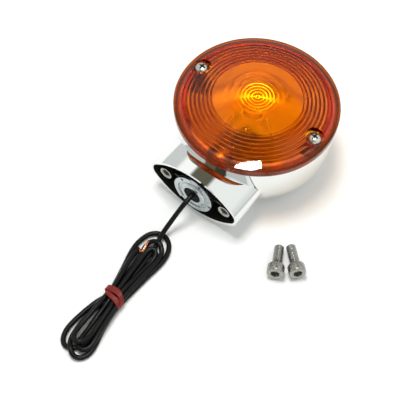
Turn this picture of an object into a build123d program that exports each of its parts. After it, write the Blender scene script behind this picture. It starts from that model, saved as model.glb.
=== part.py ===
from build123d import *
import os
from math import atan, cos, pi, radians, sin, sqrt, tan

# Motorcycle turn signal with a flat round lens, lying on its back: a die-cast housing with a
# hollow mounting stub, a screwed-on lens, a bayonet lamp and its socket, one lead wound into a
# tied hank, and two loose mounting screws.
#
# Millimetres. The origin is midway between the two tapped mounting bosses, on their faces.
# +Z points out of the lens, +Y runs from the mounting face along the lamp, and the mounting
# bosses and the lens screws both lie along X.

# ---- driving dimensions ----
LENS_R = 41.3  # a 3 1/4 inch lens
LENS_AXIS_Y = 49.6  # distance of the lens axis from the mounting bosses
RIM_TOP_Z = 21.7  # flat top of the lens's rim
FLOOR_Z = -15.2  # the surface under the housing, the hank and the loose screws
FACE_Y = -1.0  # open end of the stub, just proud of the bosses
STUB_HALF_LENGTH = 26.5
STUB_HALF_HEIGHT = 15.0
STUB_TIP_R = 7.0
STUB_WALL = 1.4
STUB_INTO_BOWL = 3.0  # the stub runs this far past the bowl's flat foot, to meet it all round
BOSS_X = 17.9
BOSS_R = 3.4
TAP_R = 2.1  # tapping hole of an M5 thread
TAP_DEPTH = 12.5
TAP_CHAMFER = 0.5
BOSS_LENGTH = 20.0  # into the bowl's wall
RIB_FACE_Y = 2.5  # the rib between the bosses and the socket's collar
RIB_LENGTH = 15.0
RIB_THICKNESS = 1.6
LENS_SCREW_X = 34.3

# ---- bowl ----
BOWL_WALL = 1.6
BOWL_RIM_R = 40.4
BOWL_KNEE_R = 40.0
BOWL_KNEE_Z = -1.0
BOWL_FOOT_R = 25.0
BOWL_TOP_Z = 17.4
LUG_R = 4.0
LUG_TOP_Z = 15.0
LUG_HEIGHT = 11.0
LUG_WEB_R = 38.9  # the web joins the lug to the wall at this radius
LUG_BORE_R = 2.0
LUG_FLOOR = 1.0

# ---- lens and gasket ----
GASKET_WALL_GAP = 0.2  # the gasket sits this far inside the rim's edges
GASKET_LENS_GAP = 0.1
RIM_CHAMFER = 0.5
SKIRT_BOTTOM_Z = 18.3
DOME_R = 40.3  # the dome springs from the flat rim at this radius
DOME_RISE = 6.4
LENS_WALL = 2.7
OUTER_RIDGE_HEIGHT = 0.35
INNER_RIDGE_HEIGHT = 0.15
SPIGOT_R = 38.3
SPIGOT_WALL = 1.6
SPIGOT_BOTTOM_Z = 15.6
RING_STEP = 2.05
OUTER_RINGS = [22.5 + RING_STEP * i for i in range(7)]
INNER_RINGS = [0.0, 1.9, 3.5, 5.1, 6.7, 8.3, 10.4, 13.4, 16.5]
WELL_R = 4.6
WELL_FLOOR_Z = 21.1
COLUMN_R = 4.0
COLUMN_BOTTOM_Z = 15.35
SCREW_CLEARANCE_R = 2.2

# ---- socket and lamp, all on the Y axis ----
SHELL_R = 8.8
SHELL_BORE = 7.9
SHELL_MOUTH_Y = 21.5
SHELL_BACK_Y = -2.0
SHELL_COLLAR_R = 7.2
SHELL_CHAMFER = 0.6
SHELL_FLOOR_Y = 0.9
CABLE_HOLE_R = 4.9
GROMMET_SEAT_R = 6.3
GROMMET_SEAT_Y = -1.0
GROMMET_FRONT_Y = 0.3
PLUNGER_BACK_Y = 6.0
PLUNGER_FRONT_Y = 8.0
PLUNGER_R = 7.55
BUTTON_R = 1.4
BUTTON_TOP_Y = 8.6
FLANGE_R = 11.2
FLANGE_FRONT_Y = -1.1
FLANGE_BACK_Y = -0.1
FLANGE_LIP = 0.55
FLANGE_LIP_INNER_R = 8.9
COLLAR_R = 10.3  # the housing's own collar round the shell
COLLAR_LENGTH = 20.0
SHELL_FIT = 0.05  # radial clearance of the shell in the collar
FLANGE_HOLE_R = 0.75
FLANGE_HOLE_TURN = 132.0
FLANGE_HOLE_SPOT_R = 9.9
LIP_ARCS = [(100, 129), (258, 88)]  # start and sweep of each raised arc, in degrees
PIN_Y = 16.0
PIN_R = 1.0
PIN_REACH = 8.6
PIN_ROOM = 0.3  # between a pin and the sides of its slot
PUSH = 2.2  # travel of the sprung contact
TURN = 20.0  # bayonet turn, in degrees
BASE_R = 7.5
BASE_CURL = 0.7  # the base's back edge curls in over the insulator
BASE_BACK_Y = 9.8
BASE_FRONT_Y = 24.0
SOLDER_R = 1.8
GLASS_R = 12.5
GLASS_NECK_R = 6.9
GLASS_NECK_Y = 25.5
GLASS_CENTRE_Y = 43.5
GLASS_WALL = 0.6
STEM_TIP_Y = 33.8
FILAMENT_Y = 46.5
FILAMENT_HALF = 4.2
SUPPORT_R = 0.3

# ---- lead, hank, tie and bare strands ----
WIRE_R = 1.25
LEAD_START_Y = 2.4
LEAD_ROUTE = [
    (0.0, LEAD_START_Y, 0.0),
    (0.0, -5.5, 0.0),
    (-0.9, -11.5, -3.9),
    (-1.8, -17.5, -8.9),
    (-1.9, -23.2, -11.7),
]
# Outer shape of the hank, as cross sections along -Y: y, centre x, width, and bottom and top height.
HANK_SECTIONS = [
    (-22.4, -2.2, 7.0, 0.0, 2.8),
    (-26.5, -1.6, 13.5, 0.0, 4.9),
    (-34.0, -1.2, 17.4, 0.0, 5.2),
    (-46.0, 0.2, 14.4, 0.2, 5.5),
    (-58.0, 1.4, 11.0, 0.7, 5.9),
    (-68.0, 2.0, 11.0, 0.7, 5.9),
    (-76.0, 1.6, 13.0, 0.2, 5.5),
    (-89.0, 2.6, 17.2, 0.0, 5.0),
    (-95.5, 4.4, 15.0, 0.0, 3.5),
    (-98.8, 7.4, 6.0, 0.0, 2.6),
]
TIE_START_Y = -60.6
TIE_END_Y = -67.0
TIE_X = 1.8
TIE_WIDTH = 12.6
TIE_HEIGHT = 6.7
TIE_WALL = 0.7
STRAND_R = 0.2
STRAND_ROOT = (-4.6, -33.6, FLOOR_Z + 4.9)
STRAND_SPREAD = 0.02  # how far the roots stand apart, in mm for each degree between strands
# Each bare strand's heading and rise in degrees, and its length.
STRANDS = [(-38, 4, 5.5), (-20, 10, 6.5), (-4, 3, 6.0), (14, 12, 7.0), (30, 2, 5.0), (48, 8, 4.5)]

# ---- loose mounting screws, M5 x 12 ----
LEFT_SCREW = (54.9, -7.3, 27.5)  # where its head's face is, and its heading in degrees
RIGHT_SCREW = (63.5, -0.3, 46.5)
CAP_HEAD_R = 4.25
CAP_HEAD_HEIGHT = 5.0
CAP_SHANK_R = 2.4
CAP_SHANK_LENGTH = 12.0
CAP_HEX_AF = 4.0
CAP_HEX_DEPTH = 2.6
CAP_HEAD_CHAMFER = 0.45
CAP_TIP_CHAMFER = 0.5

os.makedirs("parts", exist_ok=True)
lens_axis = Axis((0, LENS_AXIS_Y, 0), (0, 0, 1))
lens_section = Plane(origin=(0, LENS_AXIS_Y, 0), x_dir=(1, 0, 0), z_dir=(0, -1, 0))


def save(part, label):
    part.label = label
    export_step(part, f"parts/{label}.step")


def facing_out(y):
    """The plane at y that faces out of the stub, with X to the right and Z up."""
    return Plane.XZ.offset(-y)


def stub_outline(inset):
    """The stub's almond section: two arcs that meet in rounded tips. Adds to the open sketch."""
    flat = STUB_HALF_LENGTH - STUB_TIP_R
    side_r = (flat**2 + STUB_HALF_HEIGHT**2 - STUB_TIP_R**2) / (2 * (STUB_HALF_HEIGHT - STUB_TIP_R))
    with Locations((0, STUB_HALF_HEIGHT - side_r)):
        Circle(side_r - inset)
    with Locations((0, side_r - STUB_HALF_HEIGHT)):
        Circle(side_r - inset, mode=Mode.INTERSECT)


def bowl_outline(inset):
    """Half section of the bowl, inset from its outside. Adds to the open sketch."""
    low = FLOOR_Z + inset
    with BuildLine() as outline:
        Line((BOWL_RIM_R - inset, BOWL_TOP_Z), (BOWL_KNEE_R - inset, BOWL_KNEE_Z))
        EllipticalCenterArc(
            center=(BOWL_FOOT_R, BOWL_KNEE_Z),
            x_radius=BOWL_KNEE_R - BOWL_FOOT_R - inset,
            y_radius=BOWL_KNEE_Z - low,
            start_angle=-90,
            arc_size=90,
        )
        Polyline(
            (BOWL_FOOT_R, low),
            (0, low),
            (0, BOWL_TOP_Z),
            (BOWL_RIM_R - inset, BOWL_TOP_Z),
        )
    make_face(outline.edges())


def dome_z(r, drop=0.0):
    """Height of the lens's dome at radius r, or of the surface that far below it."""
    ball_r = (DOME_R**2 + DOME_RISE**2) / (2 * DOME_RISE)
    return RIM_TOP_Z + DOME_RISE - ball_r + sqrt((ball_r - drop) ** 2 - r**2)


# ---- housing ----

with BuildPart() as bowl_solid:
    with BuildSketch(lens_section):
        bowl_outline(0)
    revolve(axis=lens_axis)

with BuildPart() as bowl_hollow:
    with BuildSketch(lens_section):
        bowl_outline(BOWL_WALL)
    revolve(axis=lens_axis)

# The stub's hollow ends at the outside of the bowl, whose wall closes it.
with BuildPart() as stub_hollow:
    with BuildSketch(facing_out(FACE_Y)) as stub_inner:
        stub_outline(STUB_WALL)
        fillet(stub_inner.vertices(), STUB_TIP_R - STUB_WALL)
    extrude(amount=-(LENS_AXIS_Y - BOWL_FOOT_R - FACE_Y))
    add(bowl_solid.part, mode=Mode.SUBTRACT)

with BuildPart() as housing:
    add(bowl_solid.part)
    with BuildSketch(facing_out(FACE_Y)) as stub_outer:
        stub_outline(0)
        fillet(stub_outer.vertices(), STUB_TIP_R)
    extrude(amount=-(LENS_AXIS_Y - BOWL_FOOT_R + STUB_INTO_BOWL - FACE_Y))
    add(stub_hollow.part, mode=Mode.SUBTRACT)
    # two tapped bosses, the socket's collar, and a rib from each boss to the collar
    with BuildSketch(facing_out(0)):
        with Locations((-BOSS_X, 0), (BOSS_X, 0)):
            Circle(BOSS_R)
    extrude(amount=-BOSS_LENGTH)
    with BuildSketch(facing_out(FLANGE_BACK_Y)):
        Circle(COLLAR_R)
    extrude(amount=-COLLAR_LENGTH)
    with BuildSketch(facing_out(RIB_FACE_Y)):
        Rectangle(2 * BOSS_X, RIB_THICKNESS)
    extrude(amount=-RIB_LENGTH)
    add(bowl_hollow.part, mode=Mode.SUBTRACT)
    # lugs for the lens screws, joined to the wall
    with BuildSketch(Plane.XY.offset(LUG_TOP_Z)):
        for side in (-1, 1):
            with Locations((side * LENS_SCREW_X, LENS_AXIS_Y)):
                Circle(LUG_R)
            with Locations((side * (LENS_SCREW_X + LUG_WEB_R) / 2, LENS_AXIS_Y)):
                Rectangle(LUG_WEB_R - LENS_SCREW_X, 2 * LUG_R - 1)
    extrude(amount=-LUG_HEIGHT)
    # socket bore, tapped holes and lens screw bores
    with BuildSketch(facing_out(FACE_Y)):
        Circle(SHELL_R + SHELL_FIT)
    extrude(amount=-(SHELL_MOUTH_Y - FACE_Y), mode=Mode.SUBTRACT)
    with BuildSketch(facing_out(0)):
        with Locations((-BOSS_X, 0), (BOSS_X, 0)):
            Circle(TAP_R)
    extrude(amount=-TAP_DEPTH, mode=Mode.SUBTRACT)
    with BuildSketch(Plane.XY.offset(LUG_TOP_Z)):
        with Locations((-LENS_SCREW_X, LENS_AXIS_Y), (LENS_SCREW_X, LENS_AXIS_Y)):
            Circle(LUG_BORE_R)
    extrude(amount=-(LUG_HEIGHT - LUG_FLOOR), mode=Mode.SUBTRACT)
    # lead-in chamfers of the tapped holes
    mouths = housing.edges().filter_by(GeomType.CIRCLE)
    mouths = mouths.filter_by(lambda e: abs(e.radius - TAP_R) < 0.01 and abs(e.center().Y) < 0.01)
    chamfer(mouths, TAP_CHAMFER)
save(housing.part, "housing")

# ---- lens gasket and lens ----

with BuildPart() as lens_gasket:
    with BuildSketch(Plane(origin=(0, LENS_AXIS_Y, BOWL_TOP_Z))):
        Circle(BOWL_RIM_R - GASKET_WALL_GAP)
        Circle(BOWL_RIM_R - BOWL_WALL + GASKET_WALL_GAP, mode=Mode.SUBTRACT)
    extrude(amount=SKIRT_BOTTOM_Z - BOWL_TOP_Z - GASKET_LENS_GAP)
save(lens_gasket.part, "lens_gasket")

with BuildPart() as lens:
    with BuildSketch(lens_section):
        with BuildLine():
            ThreePointArc((0, dome_z(0)), (DOME_R / 2, dome_z(DOME_R / 2)), (DOME_R, RIM_TOP_Z))
            Polyline(
                (DOME_R, RIM_TOP_Z),
                (LENS_R - RIM_CHAMFER, RIM_TOP_Z),
                (LENS_R, RIM_TOP_Z - RIM_CHAMFER),
                (LENS_R, SKIRT_BOTTOM_Z),
                (SPIGOT_R, SKIRT_BOTTOM_Z),
                (SPIGOT_R, SPIGOT_BOTTOM_Z),
                (SPIGOT_R - SPIGOT_WALL, SPIGOT_BOTTOM_Z),
                (SPIGOT_R - SPIGOT_WALL, SKIRT_BOTTOM_Z),
                (OUTER_RINGS[-1], dome_z(OUTER_RINGS[-1], LENS_WALL)),
            )
            # concentric ridges under the dome: an outer band, a plain band and an inner band
            edges_r = INNER_RINGS + OUTER_RINGS
            for near, far in zip(edges_r, edges_r[1:]):
                middle = (near + far) / 2
                plain = near == INNER_RINGS[-1]
                height = OUTER_RIDGE_HEIGHT if near in OUTER_RINGS else INNER_RIDGE_HEIGHT
                drop = LENS_WALL + (0 if plain else height)
                ThreePointArc(
                    (near, dome_z(near, LENS_WALL)),
                    (middle, dome_z(middle, drop)),
                    (far, dome_z(far, LENS_WALL)),
                )
            Line((0, dome_z(0, LENS_WALL)), (0, dome_z(0)))
        make_face()
    revolve(axis=lens_axis)
    # a column under each screw, its well above, open towards the rim, and the screw's hole
    screw_spots = [(-LENS_SCREW_X, LENS_AXIS_Y), (LENS_SCREW_X, LENS_AXIS_Y)]
    with BuildSketch(Plane.XY.offset(COLUMN_BOTTOM_Z)):
        with Locations(*screw_spots):
            Circle(COLUMN_R)
    extrude(amount=WELL_FLOOR_Z - COLUMN_BOTTOM_Z)
    with BuildSketch(Plane.XY.offset(WELL_FLOOR_Z)):
        with Locations(*screw_spots):
            Circle(WELL_R)
    extrude(amount=DOME_RISE, mode=Mode.SUBTRACT)
    with BuildSketch(Plane.XY.offset(COLUMN_BOTTOM_Z)):
        with Locations(*screw_spots):
            Circle(SCREW_CLEARANCE_R)
    extrude(amount=WELL_FLOOR_Z - COLUMN_BOTTOM_Z, mode=Mode.SUBTRACT)
save(lens.part, "lens")


def lens_screw(x):
    """A cross-recessed pan head screw through the lens at x."""
    seat_z = WELL_FLOOR_Z + 0.05
    head_r = 3.4
    head_height = 2.3
    head_edge = 0.8
    crown = head_height - head_edge
    crown_ball_r = (head_r**2 + crown**2) / (2 * crown)
    half_out = (head_r / 2, head_height - crown_ball_r + sqrt(crown_ball_r**2 - head_r**2 / 4))
    shank_r = 1.95
    shank_length = 15.0
    tip_r = 1.35
    tip_length = 0.8
    recess_length = 3.7
    recess_width = 1.0
    recess_depth = 1.5
    clear_of_crown = 0.1
    at = Plane(origin=(x, LENS_AXIS_Y, seat_z))
    section = Plane(origin=at.origin, x_dir=(1, 0, 0), z_dir=(0, -1, 0))
    with BuildPart() as screw:
        with BuildSketch(section):
            with BuildLine():
                Polyline(
                    (0, head_height),
                    (0, -shank_length),
                    (tip_r, -shank_length),
                    (shank_r, -shank_length + tip_length),
                    (shank_r, 0),
                    (head_r, 0),
                    (head_r, head_edge),
                )
                ThreePointArc((head_r, head_edge), half_out, (0, head_height))
            make_face()
        revolve(axis=Axis(at.origin, (0, 0, 1)))
        with BuildSketch(at.offset(head_height + clear_of_crown)):
            Rectangle(recess_length, recess_width)
            Rectangle(recess_width, recess_length)
        extrude(amount=-recess_depth, taper=8, mode=Mode.SUBTRACT)
    return screw.part


save(lens_screw(-LENS_SCREW_X), "lens_screw_left")
save(lens_screw(LENS_SCREW_X), "lens_screw_right")

# ---- lamp socket ----

with BuildPart() as socket_shell:
    with BuildSketch(Plane.XY):
        with BuildLine():
            Polyline(
                (CABLE_HOLE_R, SHELL_BACK_Y),
                (SHELL_COLLAR_R - SHELL_CHAMFER, SHELL_BACK_Y),
                (SHELL_COLLAR_R, SHELL_BACK_Y + SHELL_CHAMFER),
                (SHELL_COLLAR_R, 0),
                (SHELL_R, 0),
                (SHELL_R, SHELL_MOUTH_Y),
                (SHELL_BORE, SHELL_MOUTH_Y),
                (SHELL_BORE, SHELL_FLOOR_Y),
                (GROMMET_SEAT_R, SHELL_FLOOR_Y),
                (GROMMET_SEAT_R, GROMMET_SEAT_Y),
                (CABLE_HOLE_R, GROMMET_SEAT_Y),
                close=True,
            )
        make_face()
    revolve(axis=Axis.Y)
    # Bayonet slots, one each side: a pocket for the locked pin, a way across, and a way out.
    slot_width = 2 * (PIN_R + PIN_ROOM)
    pocket_bottom = PIN_Y - PUSH - PIN_R - PIN_ROOM
    slot_steps = [i * TURN / 3 for i in range(4)]
    for side in (0, 180):
        for step in slot_steps:
            last = step == slot_steps[-1]
            pocket_top = SHELL_MOUTH_Y + 1 if last else PIN_Y + PIN_R + PIN_ROOM
            across = Plane(origin=(0, 0, 0), x_dir=(0, 1, 0), z_dir=(1, 0, 0))
            with BuildSketch(across.rotated((0, side + step, 0))):
                with Locations(((pocket_top + pocket_bottom) / 2, 0)):
                    Rectangle(pocket_top - pocket_bottom, slot_width)
            extrude(amount=SHELL_R + 1, mode=Mode.SUBTRACT)
save(socket_shell.part, "socket_shell")

# The back plate is swaged to the shell. Its raised lip is broken on the lead's side and at the top.
with BuildPart() as socket_flange:
    with BuildSketch(facing_out(FLANGE_BACK_Y)):
        Circle(FLANGE_R)
        Circle(SHELL_COLLAR_R + SHELL_FIT, mode=Mode.SUBTRACT)
    extrude(amount=FLANGE_BACK_Y - FLANGE_FRONT_Y)
    for start, span in LIP_ARCS:
        with BuildSketch(facing_out(FLANGE_FRONT_Y)):
            with BuildLine():
                inner = CenterArc((0, 0), FLANGE_LIP_INNER_R, start, span)
                outer = CenterArc((0, 0), FLANGE_R, start, span)
                Line(inner @ 0, outer @ 0)
                Line(inner @ 1, outer @ 1)
            make_face()
        extrude(amount=FLANGE_LIP)
    hole_turn = radians(FLANGE_HOLE_TURN)
    with BuildSketch(facing_out(FLANGE_BACK_Y)):
        with Locations((FLANGE_HOLE_SPOT_R * cos(hole_turn), FLANGE_HOLE_SPOT_R * sin(hole_turn))):
            Circle(FLANGE_HOLE_R)
    extrude(amount=FLANGE_BACK_Y - FLANGE_FRONT_Y + FLANGE_LIP, mode=Mode.SUBTRACT)
save(socket_flange.part, "socket_flange")

with BuildPart() as grommet:
    hole_r = WIRE_R + 0.05
    neck_r = CABLE_HOLE_R - 0.05
    flange_r = GROMMET_SEAT_R - 0.2
    flange_y = GROMMET_SEAT_Y + 0.05
    face_y = -1.5
    with BuildSketch(Plane.XY):
        with BuildLine():
            Polyline(
                (hole_r, face_y),
                (2 * WIRE_R, face_y - 0.2),
                (neck_r, face_y),
                (neck_r, flange_y),
                (flange_r, flange_y),
                (flange_r, GROMMET_FRONT_Y),
                (hole_r, GROMMET_FRONT_Y),
                close=True,
            )
        make_face()
    revolve(axis=Axis.Y)
save(grommet.part, "grommet")

with BuildPart() as contact_spring:
    coil_r = 4.6
    coil_wire_r = 0.38
    coil_turns = 3.5
    spring_start = GROMMET_FRONT_Y + coil_wire_r + 0.02
    spring_end = PLUNGER_BACK_Y - coil_wire_r - 0.02
    with BuildLine() as spring_line:
        Helix(
            pitch=(spring_end - spring_start) / coil_turns,
            height=spring_end - spring_start,
            radius=coil_r,
            center=(0, spring_start, 0),
            direction=(0, 1, 0),
        )
    with BuildSketch(Plane(spring_line.line @ 0, z_dir=spring_line.line % 0)):
        Circle(coil_wire_r)
    sweep(is_frenet=True)
save(contact_spring.part, "contact_spring")

with BuildPart() as contact_plunger:
    hole_r = BUTTON_R + 0.05
    boss_r = 3.0
    boss_y = PLUNGER_BACK_Y - 1.1
    with BuildSketch(Plane.XY):
        with BuildLine():
            Polyline(
                (hole_r, boss_y),
                (boss_r, boss_y),
                (boss_r, PLUNGER_BACK_Y),
                (PLUNGER_R, PLUNGER_BACK_Y),
                (PLUNGER_R, PLUNGER_FRONT_Y),
                (hole_r, PLUNGER_FRONT_Y),
                close=True,
            )
        make_face()
    revolve(axis=Axis.Y)
save(contact_plunger.part, "contact_plunger")

with BuildPart() as contact_button:
    back_y = PLUNGER_BACK_Y - 1.2
    head_r = 2.6
    head_y = PLUNGER_FRONT_Y + 0.05
    with BuildSketch(Plane.XY):
        with BuildLine():
            Polyline(
                (0, back_y),
                (BUTTON_R, back_y),
                (BUTTON_R, head_y),
                (head_r, head_y),
                (head_r, head_y + 0.35),
                (0, BUTTON_TOP_Y),
                close=True,
            )
        make_face()
    revolve(axis=Axis.Y)
save(contact_button.part, "contact_button")

# ---- lamp ----

with BuildPart() as bulb_base:
    bore_r = GLASS_NECK_R + 0.05
    with BuildSketch(Plane.XY):
        with BuildLine():
            Polyline(
                (BASE_R - BASE_CURL, BASE_BACK_Y),
                (BASE_R, BASE_BACK_Y + BASE_CURL),
                (BASE_R, BASE_FRONT_Y - 0.5),
                (BASE_R + 0.3, BASE_FRONT_Y),
                (bore_r, BASE_FRONT_Y),
                (bore_r, BASE_BACK_Y + BASE_CURL),
                (BASE_R - BASE_CURL, BASE_BACK_Y + 0.3),
                close=True,
            )
        make_face()
    revolve(axis=Axis.Y)
    # two bayonet pins
    for side in (-1, 1):
        with BuildSketch(Plane(origin=(side * bore_r, PIN_Y, 0), z_dir=(side, 0, 0))):
            Circle(PIN_R)
        extrude(amount=PIN_REACH - bore_r)
save(bulb_base.part, "bulb_base")

with BuildPart() as bulb_insulator:
    hole_r = SOLDER_R + 0.05
    edge_r = BASE_R - BASE_CURL - 0.05
    front_y = BASE_BACK_Y + 2.2
    with BuildSketch(Plane.XY):
        with BuildLine():
            Polyline(
                (hole_r, BASE_BACK_Y - 0.4),
                (4.5, BASE_BACK_Y - 0.2),
                (edge_r, BASE_BACK_Y + 0.1),
                (edge_r, BASE_BACK_Y + 0.25),
                (GLASS_NECK_R, BASE_BACK_Y + BASE_CURL),
                (GLASS_NECK_R, front_y),
                (hole_r, front_y),
                close=True,
            )
        make_face()
    revolve(axis=Axis.Y)
save(bulb_insulator.part, "bulb_insulator")

with BuildPart() as bulb_contact:
    with BuildSketch(Plane.XY):
        with BuildLine():
            tip = (0, BUTTON_TOP_Y + 0.05)
            shoulder = (SOLDER_R, BASE_BACK_Y - 0.3)
            ThreePointArc(tip, (1.1, BUTTON_TOP_Y + 0.25), shoulder)
            Polyline(shoulder, (SOLDER_R, BASE_BACK_Y + 2), (0, BASE_BACK_Y + 2), tip)
        make_face()
    revolve(axis=Axis.Y)
save(bulb_contact.part, "bulb_contact")


def glass_outline(inset, start_y):
    """Half section of the pear-shaped envelope: neck, two tangent arcs and a round end."""
    dx = GLASS_R - GLASS_NECK_R
    dy = GLASS_CENTRE_Y - GLASS_NECK_Y
    bend_r = (dx**2 + dy**2) / (4 * dx)
    share = (bend_r - inset) / (2 * bend_r)
    belly = Vector(GLASS_R - bend_r, GLASS_CENTRE_Y)
    waist = Vector(GLASS_NECK_R + bend_r, GLASS_NECK_Y)
    joint = belly + (waist - belly) * share
    neck_r = GLASS_NECK_R - inset
    end_r = GLASS_R - inset
    with BuildLine() as outline:
        Polyline((0, start_y), (neck_r, start_y), (neck_r, GLASS_NECK_Y))
        TangentArc((neck_r, GLASS_NECK_Y), (joint.X, joint.Y), tangent=(0, 1))
        TangentArc((end_r, GLASS_CENTRE_Y), (joint.X, joint.Y), tangent=(0, -1))
        CenterArc((0, GLASS_CENTRE_Y), end_r, 0, 90)
        Line((0, GLASS_CENTRE_Y + end_r), (0, start_y))
    make_face(outline.edges())


with BuildPart() as bulb_glass:
    with BuildSketch(Plane.XY):
        glass_outline(0, BASE_BACK_Y + 4)
    revolve(axis=Axis.Y)
    with BuildSketch(Plane.XY):
        glass_outline(GLASS_WALL, BASE_BACK_Y + 3)
    revolve(axis=Axis.Y, mode=Mode.SUBTRACT)
save(bulb_glass.part, "bulb_glass")

with BuildPart() as bulb_stem:
    with BuildSketch(Plane.XY):
        with BuildLine():
            Polyline(
                (0, BASE_BACK_Y + 4.5),
                (5.8, BASE_BACK_Y + 4.5),
                (5.8, BASE_BACK_Y + 5.5),
                (2.6, BASE_BACK_Y + 9.0),
                (1.9, STEM_TIP_Y - 0.8),
                (0, STEM_TIP_Y),
                close=True,
            )
        make_face()
    revolve(axis=Axis.Y)
save(bulb_stem.part, "bulb_stem")

with BuildPart() as filament_supports:
    for side in (-1, 1):
        with BuildLine() as support_line:
            FilletPolyline(
                (side * 0.8, STEM_TIP_Y, 1.2 * side),
                (side * 1.6, 37.5, 0.8 * side),
                (side * FILAMENT_HALF, 42.0, 0),
                (side * FILAMENT_HALF, FILAMENT_Y, 0),
                radius=1.2,
            )
        with BuildSketch(Plane(support_line.line @ 0, z_dir=support_line.line % 0)):
            Circle(SUPPORT_R)
        sweep(path=support_line.line)
save(filament_supports.part, "filament_supports")

with BuildPart() as bulb_filament:
    coil_half = FILAMENT_HALF - SUPPORT_R - 0.15
    with BuildLine() as filament_line:
        Helix(
            pitch=coil_half / 5,
            height=2 * coil_half,
            radius=0.55,
            center=(-coil_half, FILAMENT_Y, 0),
            direction=(1, 0, 0),
        )
    with BuildSketch(Plane(filament_line.line @ 0, z_dir=filament_line.line % 0)):
        Circle(0.14)
    sweep(is_frenet=True)
save(bulb_filament.part, "bulb_filament")

# ---- lead, hank, tie and bare strands ----


def bend_radii(route):
    """The largest tangent arc at each corner that leaves a tenth of the shorter run straight."""
    radii = []
    for before, corner, after in zip(route, route[1:], route[2:]):
        way_in = Vector(*corner) - Vector(*before)
        way_out = Vector(*after) - Vector(*corner)
        half_turn = radians(way_in.get_angle(way_out)) / 2
        radii.append(0.45 * min(way_in.length, way_out.length) / tan(half_turn))
    return radii


radii = bend_radii(LEAD_ROUTE)
with BuildPart() as lead_wire:
    with BuildLine() as lead_line:
        FilletPolyline(*LEAD_ROUTE, radius=radii)
    with BuildSketch(Plane(lead_line.line @ 0, z_dir=lead_line.line % 0)):
        Circle(WIRE_R)
    sweep(path=lead_line.line)
save(lead_wire.part, "lead_wire")
lead_length = sum(edge.length for edge in lead_line.edges())
print("lead radii", [round(r, 1) for r in radii])
print("lead length", round(lead_length, 2), "mm")
print("lead volume", round(lead_wire.part.volume, 2))
print("lead section x length", round(pi * WIRE_R**2 * lead_length, 2))

with BuildPart() as lead_hank:
    for y, x, width, low, high in HANK_SECTIONS:
        with BuildSketch(facing_out(y)):
            with Locations((x, FLOOR_Z + (low + high) / 2)):
                RectangleRounded(width, high - low, min(high - low, width) * 0.42)
    loft(ruled=True)
save(lead_hank.part, "lead_hank")

with BuildPart() as hank_tie:
    with BuildSketch(facing_out(TIE_START_Y)):
        with Locations((TIE_X, FLOOR_Z + TIE_HEIGHT / 2)):
            RectangleRounded(TIE_WIDTH, TIE_HEIGHT, 2.6)
            RectangleRounded(TIE_WIDTH - 2 * TIE_WALL, TIE_HEIGHT - 2 * TIE_WALL, 2.0, mode=Mode.SUBTRACT)
    extrude(amount=TIE_START_Y - TIE_END_Y)
save(hank_tie.part, "hank_tie")

# Six bare copper strands splayed from the end of the lead.
with BuildPart() as bare_strands:
    for turn, rise, length in STRANDS:
        out = Vector(sin(radians(turn)), cos(radians(turn)), sin(radians(rise))).normalized()
        root = Vector(STRAND_ROOT[0] + STRAND_SPREAD * turn, STRAND_ROOT[1], STRAND_ROOT[2])
        with BuildSketch(Plane(root, z_dir=out)):
            Circle(STRAND_R)
        extrude(amount=length)
save(bare_strands.part, "bare_strands")

# ---- loose mounting screws ----


def cap_screw(face_x, face_y, heading):
    """A socket head cap screw on the floor: its head's face is at face_x, face_y, and it points
    away along the heading, in degrees anticlockwise from +Y. Head and tip both touch the floor."""
    droop = atan((CAP_HEAD_R - CAP_SHANK_R) / CAP_SHANK_LENGTH)
    face_z = FLOOR_Z + 0.02 + CAP_HEAD_HEIGHT * sin(droop) + CAP_HEAD_R * cos(droop)
    turn = radians(heading)
    along = (-sin(turn) * cos(droop), cos(turn) * cos(droop), -sin(droop))
    face = Plane(origin=(face_x, face_y, face_z), z_dir=along)
    with BuildPart() as screw:
        with BuildSketch(face):
            Circle(CAP_HEAD_R)
        extrude(amount=CAP_HEAD_HEIGHT)
        chamfer(screw.edges().sort_by(Axis(face.origin, along))[0], CAP_HEAD_CHAMFER)
        with BuildSketch(face.offset(CAP_HEAD_HEIGHT)):
            Circle(CAP_SHANK_R)
        extrude(amount=CAP_SHANK_LENGTH)
        chamfer(screw.edges().sort_by(Axis(face.origin, along))[-1], CAP_TIP_CHAMFER)
        with BuildSketch(face):
            RegularPolygon(CAP_HEX_AF / 2, 6, major_radius=False)
        extrude(amount=CAP_HEX_DEPTH, mode=Mode.SUBTRACT)
    return screw.part


save(cap_screw(*LEFT_SCREW), "mounting_screw_left")
save(cap_screw(*RIGHT_SCREW), "mounting_screw_right")
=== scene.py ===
from math import cos, pi, radians, sin

import bpy
import numpy as np
from mathutils import Matrix, Vector


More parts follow.
